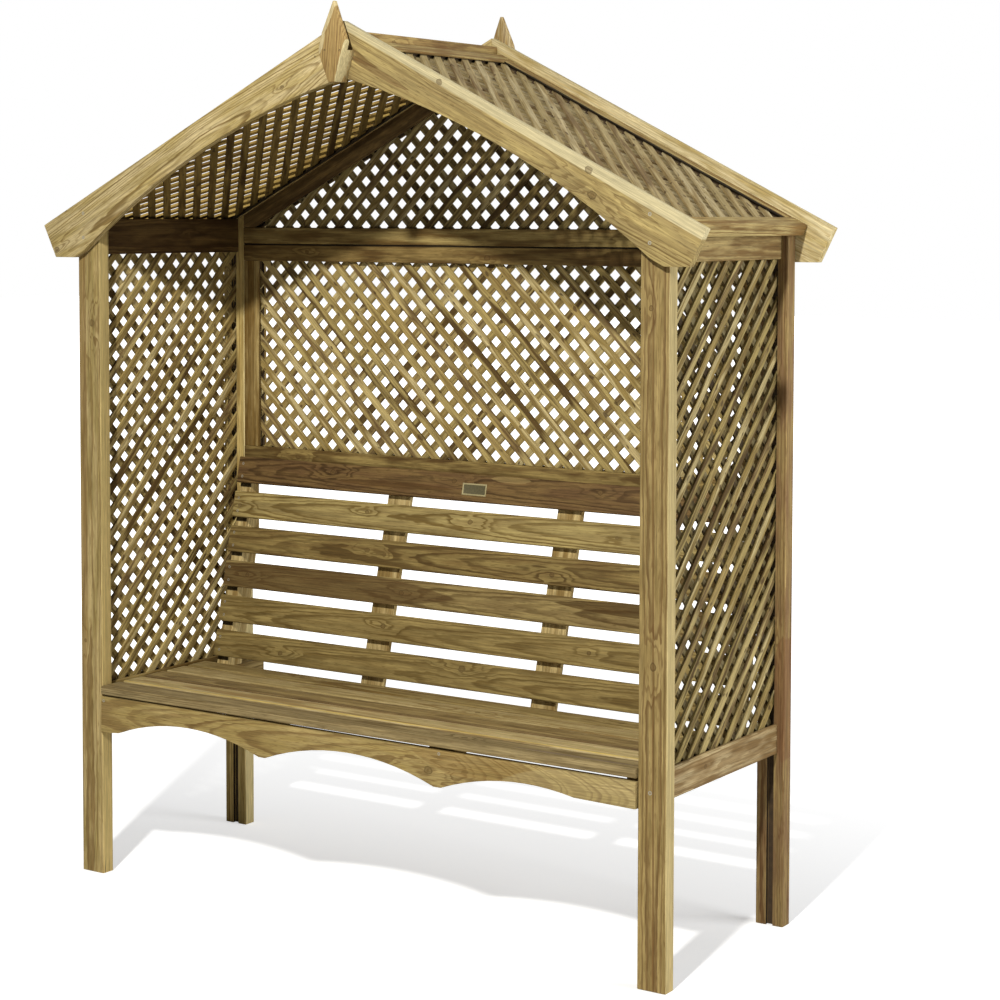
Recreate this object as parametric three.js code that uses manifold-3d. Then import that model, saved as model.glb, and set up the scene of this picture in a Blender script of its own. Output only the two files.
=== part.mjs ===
// Garden arbour seat in pressure treated pine: four grooved posts, trellis side, back
// and gable panels, two trellis roof panels between shaped bargeboards, and a slatted
// bench with a scalloped apron. Millimetres. X runs along the bench, +Y to the back and
// +Z up, with the origin on the ground at the middle of the four posts.
import * as THREE from 'three';
import { mergeVertices } from 'three/addons/utils/BufferGeometryUtils.js';
import Module from 'manifold-3d';

const wasm = await Module();
wasm.setup();

// Fit between parts that touch
const clearance = 0.3;
// How far a cutting solid runs past what it cuts
const overrun = 5;

// Planed arris on all straight stock
const easedArris = 2;

// Four posts and the frame that they make
const frameWidth = 1678;
const frameDepth = 589;
const postWidth = 70;
const postDepth = 36;

// Groove that holds the trellis in every post, rail and stile
const grooveWidth = 17;
const grooveDepth = 10;

// Diagonal trellis, two layers of battens nailed where they cross
const lathWidth = 18.2;
const lathThickness = 5.7;
const lathPitch = 40.3;
const nailRadius = 2;
const nailSides = 3;
// How far each layer is set along from the middle of its panel, as shares of the pitch
const lathShiftShares = {
  left: [0, 0],
  right: [0, 0],
  back: [0, 0],
  gable: [0.09, -0.04],
  roofLeft: [-0.3, -0.18],
  roofRight: [-0.03, -0.3],
};

// Side panels, the top rail's height taken on its outer face
const sideRailHeight = 69;
const sideRailThickness = 35;
const sideRailAboveGround = 405;
const sideOpeningHeight = 1074;
const sideTopRailHeight = 71;

// Back panel, hung between the rear posts
const backPanelAboveSeat = 511.7;
const backRailHeight = 44;
const backStileWidth = 50;
const backPanelThickness = 35;

// Gable panel, standing on the back panel
const gableJoint = 0.3;
const gableRailHeight = 44;
const gableSlopingRailWidth = 44;
const gableHeel = 32;

// Roof panels
const roofPitch = THREE.MathUtils.degToRad(26.5);
const roofThickness = 27;
const roofRailWidth = 44;
const eavesOverhang = 31;

// Ridge board
const ridgeWidth = 35;
const ridgeHeight = 44;

// Bargeboards
const bargeThickness = 20;
const bargeWidth = 115;
const bargeWaist = 68;
const bargeEndDepth = 88;
const bargeHeelLength = 90;
const bargeStand = 24;
const bargeReach = 96;
const bargeArcSteps = 16;

// Finials, sawn by eye, so that left and right differ, and the rear one nailed on a
// little higher. A bevel has its width on the face and its depth down the side.
const finialThickness = 36;
const finialNeckThickness = 14;
const finialNeckDrop = 69;
const finialRise = 42;
const finialTipWidth = 5;
const finialLeftNeck = 34;
const finialLeftNeckDrop = 28;
const finialLeftShoulder = 46;
const finialLeftShoulderDrop = 74;
const finialRightShoulder = 39;
const finialRightShoulderDrop = 55;
const finialFootDrop = 140;
const finialLeftFoot = 19;
const finialRightFoot = 13;
const finialUpperLeftBevel = [13, 5];
const finialUpperRightBevel = [2, 6];
const finialLowerBevel = [6, 24];
const rearFinialLift = 14;

// Slats of the seat and of the backrest
const slatWidth = 69;
const slatThickness = 21;
const slatEndGap = 2;

// Seat
const seatHeight = 475;
const seatSlatGap = 12.5;
const seatProud = 7;
const bearerThickness = 35;
const bearerHeight = 69;
const seatBattenThickness = 21;
const seatBattenTail = 10;

// Apron under the front slat
const apronThickness = 21;
const apronDrop = 9;
const apronCuspDepth = 81.5;
const apronCuspWidth = 20;
const apronFootLength = 58;
const apronMiddleArchShare = 0.353;
const apronMiddleRise = 45;
const apronSideRise = 41;
const apronLeftFootDepth = 87;
const apronRightFootDepth = 57;
const apronArcSteps = 14;

// Backrest
const recline = THREE.MathUtils.degToRad(12.2);
const backSlatGap = 23.2;
const backTopOverlap = 12;
const battenWidth = 69;
const leftBattenX = 259;
const rightBattenX = 252;
const backBattenThickness = 13.5;
const backBattenStray = 15;
const supportThickness = 35;
const supportDepth = 60;
const supportSetIn = 17;

// Planes that several pieces share
const postOuterX = frameWidth / 2;
const postInnerX = postOuterX - postWidth;
const frontY = -frameDepth / 2;
const rearY = frameDepth / 2;
const rearPostFrontY = rearY - postDepth;
const slope = Math.tan(roofPitch);
const perCos = 1 / Math.cos(roofPitch);
const sideRailOuterX = postOuterX - (postWidth - sideRailThickness) / 2;
const sideOpeningTopZ = sideRailAboveGround + sideRailHeight + sideOpeningHeight;
const wallTopApexZ = sideOpeningTopZ + sideTopRailHeight + sideRailOuterX * slope;
const roofUnderApexZ = wallTopApexZ + clearance * perCos;
const roofTopApexZ = roofUnderApexZ + roofThickness * perCos;
const roofRidgeX = ridgeWidth / 2 + clearance;
const ridgeBottomZ = roofUnderApexZ - roofRidgeX * slope;
const ridgeTopZ = ridgeBottomZ + ridgeHeight;
const bargeApexZ = roofTopApexZ + bargeStand * perCos;
const panelEndX = postInnerX - clearance;
const gableRailTopZ = roofUnderApexZ - panelEndX * slope - gableHeel;
const backPanelTopZ = gableRailTopZ - gableRailHeight - gableJoint;
const backPanelBottomZ = seatHeight + backPanelAboveSeat;
const slatEndX = postInnerX - slatEndGap;
const seatUnderZ = seatHeight - slatThickness;
const bearerTopZ = seatUnderZ - clearance;
const seatFrontY = frontY - seatProud;
const apronBackY = seatFrontY + apronThickness;

// Treated pine, by the piece that it makes
const pineColours = {
  post: '#a08a5a',
  rail: '#8f7b4c',
  lath: '#a39058',
  roof: '#968152',
  barge: '#c0ab78',
  finial: '#b59c62',
  seat: '#8d7a50',
  back: '#7a6539',
  apron: '#a48f54',
};

function pineMesh(name, geometry, piece) {
  const material = new THREE.MeshStandardMaterial({
    color: pineColours[piece],
    roughness: 0.75,
    metalness: 0,
  });
  const mesh = new THREE.Mesh(geometry, material);
  mesh.name = name;
  return mesh;
}

// A solid drawn as an outline in x and y, with its thickness from z = 0 upwards
function prism(points, thickness) {
  const shape = new THREE.Shape(points.map(([x, y]) => new THREE.Vector2(x, y)));
  return new THREE.ExtrudeGeometry(shape, { depth: thickness, bevelEnabled: false });
}

// Outline drawn in X and Z, thickness from y0 to the back
function uprightXZ(points, y0, thickness) {
  return prism(points, thickness).rotateX(Math.PI / 2).translate(0, y0 + thickness, 0);
}

// Outline drawn in Y and Z, thickness from x0 to the right
function uprightYZ(points, x0, thickness) {
  return prism(points, thickness).rotateX(Math.PI / 2).rotateZ(Math.PI / 2).translate(x0, 0, 0);
}

// Rectangle with its four arrises taken off
function easedRectangle(a0, b0, a1, b1) {
  const e = easedArris;
  return [
    [a0 + e, b0], [a1 - e, b0], [a1, b0 + e], [a1, b1 - e],
    [a1 - e, b1], [a0 + e, b1], [a0, b1 - e], [a0, b0 + e],
  ];
}

function toSolid(geometry) {
  const bare = geometry.clone();
  bare.deleteAttribute('normal');
  bare.deleteAttribute('uv');
  const merged = mergeVertices(bare);
  return new wasm.Manifold(new wasm.Mesh({
    numProp: 3,
    vertProperties: new Float32Array(merged.attributes.position.array),
    triVerts: new Uint32Array(merged.index.array),
  }));
}

function toGeometry(solid) {
  const mesh = solid.getMesh();
  const geometry = new THREE.BufferGeometry();
  geometry.setAttribute('position', new THREE.BufferAttribute(new Float32Array(mesh.vertProperties), 3));
  geometry.setIndex(new THREE.BufferAttribute(new Uint32Array(mesh.triVerts), 1));
  geometry.computeVertexNormals();
  return geometry;
}

// The part of a convex outline on the inner side of a line: n . p <= reach
function clipOutline(points, [nx, ny], reach) {
  const kept = [];
  points.forEach((p, i) => {
    const q = points[(i + 1) % points.length];
    const dp = nx * p[0] + ny * p[1] - reach;
    const dq = nx * q[0] + ny * q[1] - reach;
    if (dp <= 0) kept.push(p);
    if (dp * dq < 0) {
      const t = dp / (dp - dq);
      kept.push([p[0] + (q[0] - p[0]) * t, p[1] + (q[1] - p[1]) * t]);
    }
  });
  return kept;
}

// Sides of a convex outline that runs anticlockwise, as outward normals and reaches
function outlineSides(points) {
  return points.map((p, i) => {
    const q = points[(i + 1) % points.length];
    const length = Math.hypot(q[0] - p[0], q[1] - p[1]);
    const normal = [(q[1] - p[1]) / length, (p[0] - q[0]) / length];
    return { normal, reach: normal[0] * p[0] + normal[1] * p[1] };
  });
}

// Bar along +x with its groove in the edge that faces +y, centred on z = 0. A post, a
// rail and a stile are all this section.
function groovedBar(length, width, thickness) {
  const half = thickness / 2;
  const halfGroove = grooveWidth / 2;
  const grooveFloor = width - grooveDepth;
  const e = easedArris;
  const section = [
    [half, e], [half, width - e], [half - e, width], [halfGroove, width],
    [halfGroove, grooveFloor], [-halfGroove, grooveFloor], [-halfGroove, width],
    [e - half, width], [-half, width - e], [-half, e], [e - half, 0], [half - e, 0],
  ];
  return prism(section.map(([t, w]) => [-t, w]), length).rotateY(Math.PI / 2);
}

// Where a panel's own plane lies: x along the panel, y up it and z out of its face
function panelPlace(xAxis, yAxis, zAxis, origin) {
  return new THREE.Matrix4().makeBasis(xAxis, yAxis, zAxis).setPosition(origin);
}

// A grooved bar in a panel's plane. Each side of the frame turns the bar so that its
// groove faces the trellis.
function frameBar(name, place, side, [x0, y0, x1, y1], thickness, piece) {
  const upright = side === 'left' || side === 'right';
  const width = upright ? x1 - x0 : y1 - y0;
  const length = upright ? y1 - y0 : x1 - x0;
  const corner = { bottom: [x0, y0], top: [x1, y1], left: [x0, y1], right: [x1, y0] }[side];
  const turn = { bottom: 0, top: Math.PI, left: -Math.PI / 2, right: Math.PI / 2 }[side];
  const bar = groovedBar(length, width, thickness).rotateZ(turn).translate(corner[0], corner[1], 0);
  return pineMesh(name, bar.applyMatrix4(place), piece);
}

// Trims what stands in the walls to the slope of the roof
function cutToRoof(mesh) {
  const reachX = postOuterX + overrun;
  const sideZ = wallTopApexZ - reachX * slope;
  const under = [
    [-reachX, -overrun], [reachX, -overrun], [reachX, sideZ], [0, wallTopApexZ], [-reachX, sideZ],
  ];
  const house = uprightXZ(under, frontY - overrun, frameDepth + 2 * overrun);
  mesh.geometry = toGeometry(toSolid(mesh.geometry).intersect(toSolid(house)));
  return mesh;
}

// Battens of one layer, each cut off by the outline. Their centres lie lathPitch apart,
// and the layer is set along by a share of that.
function lathLayer(outline, rises, shiftShare) {
  const along = rises ? [Math.SQRT1_2, Math.SQRT1_2] : [Math.SQRT1_2, -Math.SQRT1_2];
  const across = [-along[1], along[0]];
  const offsets = outline.map((p) => p[0] * across[0] + p[1] * across[1]);
  const middle = (Math.min(...offsets) + Math.max(...offsets)) / 2 + shiftShare * lathPitch;
  const count = Math.ceil((Math.max(...offsets) - Math.min(...offsets)) / 2 / lathPitch) + 1;
  const laths = [];
  for (let i = -count; i <= count; i += 1) {
    const offset = middle + i * lathPitch;
    let cut = clipOutline(outline, across, offset + lathWidth / 2);
    cut = clipOutline(cut, [-across[0], -across[1]], lathWidth / 2 - offset);
    if (cut.length > 2) laths.push({ offset, across, cut });
  }
  return laths;
}

// Where the middle lines of two battens cross
function crossing(a, b) {
  const det = a.across[0] * b.across[1] - a.across[1] * b.across[0];
  return [
    (a.offset * b.across[1] - b.offset * a.across[1]) / det,
    (a.across[0] * b.offset - b.across[0] * a.offset) / det,
  ];
}

// Trellis in its own plane. The layer that faces +z rises with x where faceRises is
// true. Every batten is tied to the rest by nails through the crossings, as few as hold
// them all, and a corner offcut that no nail would hold is left out.
function trellis(name, place, outline, faceRises, [faceShift, rearShift], piece) {
  const sides = outlineSides(outline);
  const face = lathLayer(outline, faceRises, faceShift);
  const rear = lathLayer(outline, !faceRises, rearShift);
  const laths = [...face, ...rear];
  const root = laths.map((_, i) => i);
  const find = (i) => (root[i] === i ? i : find(root[i]));
  const nails = [];
  face.forEach((a, i) => rear.forEach((b, j) => {
    const p = crossing(a, b);
    const inside = sides.every(({ normal, reach }) => (
      normal[0] * p[0] + normal[1] * p[1] < reach - lathWidth / 2));
    const [ra, rb] = [find(i), find(face.length + j)];
    if (!inside || ra === rb) return;
    root[ra] = rb;
    nails.push({ p, lath: i });
  }));
  const size = (r) => laths.filter((_, i) => find(i) === r).length;
  const main = laths.map((_, i) => find(i)).reduce((best, r) => (size(r) > size(best) ? r : best));
  let solid = null;
  laths.forEach((lath, i) => {
    if (find(i) !== main) return;
    const z0 = i < face.length ? clearance / 2 : -clearance / 2 - lathThickness;
    const batten = toSolid(prism(lath.cut, lathThickness).translate(0, 0, z0));
    solid = solid ? solid.add(batten) : batten;
  });
  nails.filter(({ lath }) => find(lath) === main).forEach(({ p: [x, y] }) => {
    const nail = new THREE.CylinderGeometry(nailRadius, nailRadius, lathThickness, nailSides);
    solid = solid.add(toSolid(nail.rotateX(Math.PI / 2).translate(x, y, 0)));
  });
  return pineMesh(name, toGeometry(solid).applyMatrix4(place), piece);
}

// A frame's opening, grown by the depth that the trellis stands in the grooves
function grownRectangle(x0, y0, x1, y1) {
  const grip = grooveDepth - clearance;
  return [[x0 - grip, y0 - grip], [x1 + grip, y0 - grip], [x1 + grip, y1 + grip], [x0 - grip, y1 + grip]];
}

const axisX = new THREE.Vector3(1, 0, 0);
const axisY = new THREE.Vector3(0, 1, 0);
const axisZ = new THREE.Vector3(0, 0, 1);

// One side: front and rear post with a top and a bottom rail and the trellis between
function sidePanel(side, sign) {
  const x = sign * (postOuterX - postWidth / 2);
  const place = panelPlace(axisY, axisZ, axisX, new THREE.Vector3(x, 0, 0));
  const innerFront = frontY + postDepth;
  const [y0, y1] = [innerFront + clearance, rearPostFrontY - clearance];
  const lowTop = sideRailAboveGround + sideRailHeight;
  const post = (name, edge, startY, endY) => (
    cutToRoof(frameBar(name, place, edge, [startY, 0, endY, wallTopApexZ], postWidth, 'post')));
  const rail = (name, edge, startZ, endZ) => (
    frameBar(name, place, edge, [y0, startZ, y1, endZ], sideRailThickness, 'rail'));
  const opening = grownRectangle(innerFront, lowTop, rearPostFrontY, sideOpeningTopZ);
  return [
    post(`front_${side}_post`, 'left', frontY, innerFront),
    post(`rear_${side}_post`, 'right', rearPostFrontY, rearY),
    rail(`${side}_side_bottom_rail`, 'bottom', sideRailAboveGround, lowTop),
    cutToRoof(rail(`${side}_side_top_rail`, 'top', sideOpeningTopZ, wallTopApexZ)),
    trellis(`${side}_side_trellis`, place, opening, true, lathShiftShares[side], 'lath'),
  ];
}

function backPanel() {
  const t = backPanelThickness;
  const origin = new THREE.Vector3(0, rearPostFrontY + t / 2, 0);
  const place = panelPlace(axisX, axisZ, axisY.clone().negate(), origin);
  const lowTop = backPanelBottomZ + backRailHeight;
  const highBottom = backPanelTopZ - backRailHeight;
  const endX = panelEndX;
  const inX = panelEndX - backStileWidth;
  const [z0, z1] = [lowTop + clearance, highBottom - clearance];
  const opening = grownRectangle(-inX, lowTop, inX, highBottom);
  return [
    frameBar('back_panel_bottom_rail', place, 'bottom', [-endX, backPanelBottomZ, endX, lowTop], t, 'rail'),
    frameBar('back_panel_top_rail', place, 'top', [-endX, highBottom, endX, backPanelTopZ], t, 'rail'),
    frameBar('back_panel_left_stile', place, 'left', [-endX, z0, -inX, z1], t, 'rail'),
    frameBar('back_panel_right_stile', place, 'right', [inX, z0, endX, z1], t, 'rail'),
    trellis('back_panel_trellis', place, opening, false, lathShiftShares.back, 'lath'),
  ];
}

// Sloping rail of the gable panel: its foot is cut level on the bottom rail, its top lies
// along the underside of the roof, and the ridge board rests on the level cut at the apex.
function slopingRail(sign, footZ, lowerApex, cornerX) {
  const t = backPanelThickness;
  const seatZ = ridgeBottomZ - clearance;
  const outline = [
    [clearance / 2, lowerApex - slope * clearance / 2],
    [cornerX, footZ],
    [panelEndX, footZ],
    [panelEndX, wallTopApexZ - panelEndX * slope],
    [(wallTopApexZ - seatZ) / slope, seatZ],
    [clearance / 2, seatZ],
  ];
  const pastX = panelEndX + overrun;
  const grooveTop = lowerApex + grooveDepth * perCos;
  const groove = [
    [-overrun, lowerApex - overrun],
    [pastX, lowerApex - slope * pastX - overrun],
    [pastX, grooveTop - slope * pastX],
    [-overrun, grooveTop + slope * overrun],
  ];
  const mirror = (points) => points.map(([x, z]) => [sign * x, z]);
  const board = toSolid(prism(mirror(outline), t).translate(0, 0, -t / 2));
  const cut = toSolid(prism(mirror(groove), grooveWidth).translate(0, 0, -grooveWidth / 2));
  return toGeometry(board.subtract(cut));
}

// Triangle above the back panel
function gablePanel() {
  const t = backPanelThickness;
  const origin = new THREE.Vector3(0, rearPostFrontY + t / 2, 0);
  const place = panelPlace(axisX, axisZ, axisY.clone().negate(), origin);
  const footZ = gableRailTopZ + clearance;
  const lowerApex = wallTopApexZ - gableSlopingRailWidth * perCos;
  const cornerX = (lowerApex - footZ) / slope;
  const grip = grooveDepth - clearance;
  const bottomZ = gableRailTopZ - grip;
  const apexZ = lowerApex + grip * perCos;
  const endX = cornerX - overrun;
  const outline = [
    [-endX, bottomZ], [endX, bottomZ], [endX, apexZ - slope * endX], [0, apexZ],
    [-endX, apexZ - slope * endX],
  ];
  const railBox = [-panelEndX, gableRailTopZ - gableRailHeight, panelEndX, gableRailTopZ];
  const rail = (sign) => slopingRail(sign, footZ, lowerApex, cornerX).applyMatrix4(place);
  return [
    frameBar('gable_bottom_rail', place, 'bottom', railBox, t, 'rail'),
    pineMesh('gable_left_sloping_rail', rail(-1), 'rail'),
    pineMesh('gable_right_sloping_rail', rail(1), 'rail'),
    trellis('gable_trellis', place, outline, true, lathShiftShares.gable, 'lath'),
  ];
}

// One roof panel. Its plane has x down the right slope, or up the left one, and z = 0
// at mid thickness. The ridge and eaves rails run through, and the others fit between.
function roofPanel(side, sign) {
  const across = new THREE.Vector3(Math.cos(roofPitch), 0, -sign * Math.sin(roofPitch));
  const up = new THREE.Vector3(sign * Math.sin(roofPitch), 0, Math.cos(roofPitch));
  const origin = new THREE.Vector3(0, 0, roofUnderApexZ).addScaledVector(up, roofThickness / 2);
  const place = panelPlace(across, axisY, up, origin);
  const nearX = roofRidgeX * perCos;
  const eavesX = postOuterX + eavesOverhang;
  const farX = (eavesX - roofThickness * Math.sin(roofPitch)) * perCos;
  const [y0, y1] = [frontY + clearance, rearY - clearance];
  const [openY0, openY1] = [y0 + roofRailWidth, y1 - roofRailWidth];
  const span = (a, b) => (sign > 0 ? [a, b] : [-b, -a]);
  const [ridge, eaves] = sign > 0 ? ['left', 'right'] : ['right', 'left'];
  const [ridge0, ridge1] = span(nearX, nearX + roofRailWidth);
  const [eaves0, eaves1] = span(farX - roofRailWidth, farX);
  const [open0, open1] = span(nearX + roofRailWidth, farX - roofRailWidth);
  const [rail0, rail1] = [open0 + clearance, open1 - clearance];
  const bar = (part, edge, box) => (
    frameBar(`roof_${side}_${part}`, place, edge, box, roofThickness, 'roof'));
  const shifts = sign > 0 ? lathShiftShares.roofRight : lathShiftShares.roofLeft;
  return [
    bar('front_rail', 'bottom', [rail0, y0, rail1, openY0]),
    bar('rear_rail', 'top', [rail0, openY1, rail1, y1]),
    bar('ridge_rail', ridge, [ridge0, y0, ridge1, y1]),
    bar('eaves_rail', eaves, [eaves0, y0, eaves1, y1]),
    trellis(`roof_${side}_trellis`, place,
      grownRectangle(open0, openY0, open1, openY1), sign < 0, shifts, 'roof'),
  ];
}

// Upright board between the two roof panels, on the flat at the gable's apex
function ridgeBoard() {
  const half = ridgeWidth / 2;
  const length = frameDepth - 2 * clearance;
  return pineMesh('ridge_board',
    uprightXZ(easedRectangle(-half, ridgeBottomZ, half, ridgeTopZ), frontY + clearance, length), 'roof');
}

// Bargeboard outline: straight top edge down the roof, square lower end with a level
// cut under it, and a lower edge hollowed in one long arc up to the plumb cut at the
// ridge. s runs up the slope from the lower end and d square to it, down from the top.
function bargeOutline() {
  const [sin, cos] = [Math.sin(roofPitch), Math.cos(roofPitch)];
  const endX = postOuterX + bargeReach;
  const endZ = bargeApexZ - endX * slope;
  const at = (s, d) => [endX - s * cos - d * sin, endZ + s * sin - d * cos];
  const plumbS = (d) => (endX - clearance / 2 - d * sin) / cos;
  const flatS = (bargeWidth - bargeEndDepth) / slope;
  const topS = plumbS(bargeWidth);
  const [middle, half] = [(bargeHeelLength + topS) / 2, (topS - bargeHeelLength) / 2];
  const rise = bargeWidth - bargeWaist;
  const radius = (half * half + rise * rise) / (2 * rise);
  const points = [at(0, 0), at(0, bargeEndDepth), at(flatS, bargeWidth)];
  for (let i = 0; i <= bargeArcSteps; i += 1) {
    const s = bargeHeelLength + (topS - bargeHeelLength) * i / bargeArcSteps;
    const sag = Math.sqrt(radius * radius - (s - middle) ** 2) - (radius - rise);
    points.push(at(s, bargeWidth - sag));
  }
  points.push(at(plumbS(0), 0));
  return points;
}

function bargeboard(name, sign, y0) {
  const outline = bargeOutline().map(([x, z]) => [sign * x, z]);
  return pineMesh(name, uprightXZ(outline, y0, bargeThickness), 'barge');
}

// Wedge that takes the arris off one side of an outline's face, which lies at z = 0
function bevelWedge([x0, y0], [x1, y1], [onFace, onSide]) {
  const past = finialThickness;
  const far = past / Math.min(onFace, onSide);
  const section = [
    [-onFace - far * onFace, far * onSide],
    [far * onFace, -onSide - far * onSide],
    [far * onFace, far * onSide],
  ];
  const length = Math.hypot(x1 - x0, y1 - y0);
  const outward = new THREE.Vector3(y1 - y0, x0 - x1, 0).divideScalar(length);
  const along = new THREE.Vector3(x0 - x1, y0 - y1, 0).divideScalar(length);
  const end = new THREE.Vector3(x1, y1, 0).addScaledVector(along, -past);
  const place = new THREE.Matrix4().makeBasis(outward, axisZ, along).setPosition(end);
  return prism(section, length + 2 * past).applyMatrix4(place);
}

// Kite shaped finial over the joint of two bargeboards, bevelled round its outer face. Its
// neck and tip are sawn thin behind, and the thick foot stands against the boards.
function finial(name, facing, faceY, lift) {
  const apexZ = bargeApexZ + lift;
  const tipZ = apexZ + finialRise;
  const footZ = apexZ - finialFootDrop;
  const outline = [
    [finialRightFoot, footZ],
    [finialRightShoulder, apexZ - finialRightShoulderDrop],
    [finialTipWidth / 2, tipZ],
    [-finialTipWidth / 2, tipZ],
    [-finialLeftNeck, apexZ - finialLeftNeckDrop],
    [-finialLeftShoulder, apexZ - finialLeftShoulderDrop],
    [-finialLeftFoot, footZ],
  ];
  const [rightFoot, rightShoulder, rightTip, leftTip, leftNeck, leftShoulder, leftFoot] = outline;
  const place = panelPlace(axisX.clone().multiplyScalar(-facing), axisZ,
    axisY.clone().multiplyScalar(facing), new THREE.Vector3(0, faceY, 0));
  const past = finialLeftShoulder + overrun;
  const [neckZ, overZ] = [apexZ - finialNeckDrop, tipZ + overrun];
  const behind = prism([[-past, neckZ], [past, neckZ], [past, overZ], [-past, overZ]], finialThickness)
    .translate(0, 0, -finialNeckThickness - finialThickness);
  let solid = toSolid(prism(outline, finialThickness).translate(0, 0, -finialThickness))
    .subtract(toSolid(behind));
  const bevels = [
    [rightFoot, rightShoulder, finialLowerBevel],
    [rightShoulder, rightTip, finialUpperRightBevel],
    [leftTip, leftNeck, finialUpperLeftBevel],
    [leftNeck, leftShoulder, finialUpperLeftBevel],
    [leftShoulder, leftFoot, finialLowerBevel],
  ];
  bevels.forEach(([from, to, bevel]) => {
    solid = solid.subtract(toSolid(bevelWedge(from, to, bevel)));
  });
  return pineMesh(name, toGeometry(solid).applyMatrix4(place), 'finial');
}

// Arch of the apron's lower edge, from one foot of the arc to the other
function archPoints(x0, x1, footZ, rise) {
  const [middle, half] = [(x0 + x1) / 2, (x1 - x0) / 2];
  const radius = (half * half + rise * rise) / (2 * rise);
  const points = [];
  for (let i = 0; i <= apronArcSteps; i += 1) {
    const x = x0 + (x1 - x0) * i / apronArcSteps;
    points.push([x, footZ + Math.sqrt(radius * radius - (x - middle) ** 2) - (radius - rise)]);
  }
  return points;
}

// Scalloped apron: three arches with flat cusps between and a foot at each end, the
// right foot trimmed higher than the left one
function apron() {
  const topZ = seatUnderZ - apronDrop;
  const cuspZ = topZ - apronCuspDepth;
  const leftZ = topZ - apronLeftFootDepth;
  const rightZ = topZ - apronRightFootDepth;
  const outerX = slatEndX - apronFootLength;
  const innerX = (outerX - apronCuspWidth) * apronMiddleArchShare;
  const cuspX = innerX + apronCuspWidth;
  const leftArch = archPoints(-outerX, -cuspX, cuspZ, apronSideRise);
  const rightArch = archPoints(cuspX, outerX, cuspZ, apronSideRise)
    .filter(([x, z]) => x < (cuspX + outerX) / 2 || z > rightZ);
  const points = [
    [-slatEndX, leftZ],
    ...leftArch,
    ...archPoints(-innerX, innerX, cuspZ, apronMiddleRise),
    ...rightArch,
    [slatEndX, rightZ],
    [slatEndX, topZ],
    [-slatEndX, topZ],
  ];
  return pineMesh('seat_apron', uprightXZ(points, seatFrontY, apronThickness), 'apron');
}

// Backrest lines in Y and Z. The top slat leans on the back panel's bottom rail with the
// arris of its rear face, and everything behind the slats runs parallel to them.
const [leanSin, leanCos] = [Math.sin(recline), Math.cos(recline)];
const backTopRear = [rearPostFrontY - clearance, backPanelBottomZ + backTopOverlap];
const backTopFront = [
  backTopRear[0] - slatThickness * leanCos,
  backTopRear[1] + slatThickness * leanSin,
];
// A point a distance down the slats' front plane and a depth behind it
function backPoint(down, depth) {
  return [
    backTopFront[0] - down * leanSin + depth * leanCos,
    backTopFront[1] - down * leanCos - depth * leanSin,
  ];
}
// Y of the plane that lies a depth behind the slats' front, at height z
function backPlaneY(depth, z) {
  const [y, height] = backPoint(0, depth);
  return y - (height - z) * Math.tan(recline);
}

const supportFrontDepth = slatThickness + clearance;
const supportFootZ = bearerTopZ + clearance;
const seatRun = backPlaneY(supportFrontDepth, supportFootZ) - clearance - seatFrontY;
const seatSlatCount = Math.floor((seatRun + seatSlatGap) / (slatWidth + seatSlatGap));

function seatSlats() {
  const slats = [];
  for (let i = 0; i < seatSlatCount; i += 1) {
    const y = seatFrontY + i * (slatWidth + seatSlatGap);
    const section = easedRectangle(y, seatUnderZ, y + slatWidth, seatHeight);
    slats.push(pineMesh(`seat_slat_${i + 1}`, uprightYZ(section, -slatEndX, 2 * slatEndX), 'seat'));
  }
  return slats;
}

// A bearer stands on edge against the posts at each end and carries the slats, and two
// flat battens tie the slats together on the way.
function seatFrame() {
  const outerX = postInnerX - clearance;
  const startY = apronBackY + clearance;
  const bearer = (name, x0) => pineMesh(name, uprightXZ(
    easedRectangle(x0, bearerTopZ - bearerHeight, x0 + bearerThickness, bearerTopZ),
    startY, rearY - startY), 'rail');
  const battenEndY = backPlaneY(supportFrontDepth + backBattenThickness, bearerTopZ) + seatBattenTail;
  const batten = (name, x) => pineMesh(name, uprightXZ(
    easedRectangle(x - battenWidth / 2, bearerTopZ - seatBattenThickness, x + battenWidth / 2, bearerTopZ),
    startY, battenEndY - startY), 'seat');
  return [
    bearer('seat_left_bearer', -outerX),
    bearer('seat_right_bearer', outerX - bearerThickness),
    batten('seat_left_batten', -leftBattenX),
    batten('seat_right_batten', rightBattenX),
  ];
}

function backSlats() {
  const run = (backTopFront[1] - seatHeight) / leanCos;
  const count = Math.floor((run + backSlatGap) / (slatWidth + backSlatGap));
  const slats = [];
  for (let i = 0; i < count; i += 1) {
    const top = i * (slatWidth + backSlatGap);
    const outline = easedRectangle(top, 0, top + slatWidth, slatThickness)
      .map(([down, depth]) => backPoint(down, depth));
    slats.push(pineMesh(`back_slat_${i + 1}`, uprightYZ(outline, -slatEndX, 2 * slatEndX), 'back'));
  }
  return slats;
}

// Strip parallel to the slats between two depths behind their front plane, cut level
// under the back panel and level on what it stands on
const stripHeadZ = backPanelBottomZ - clearance;
function leaningStrip(depth0, depth1, rearLimitY) {
  const long = backTopFront[1];
  let outline = [
    backPoint(long, depth0), backPoint(long, depth1),
    backPoint(-long, depth1), backPoint(-long, depth0),
  ];
  outline = clipOutline(outline, [0, 1], stripHeadZ);
  outline = clipOutline(outline, [0, -1], -supportFootZ);
  return clipOutline(outline, [1, 0], rearLimitY);
}

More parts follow.
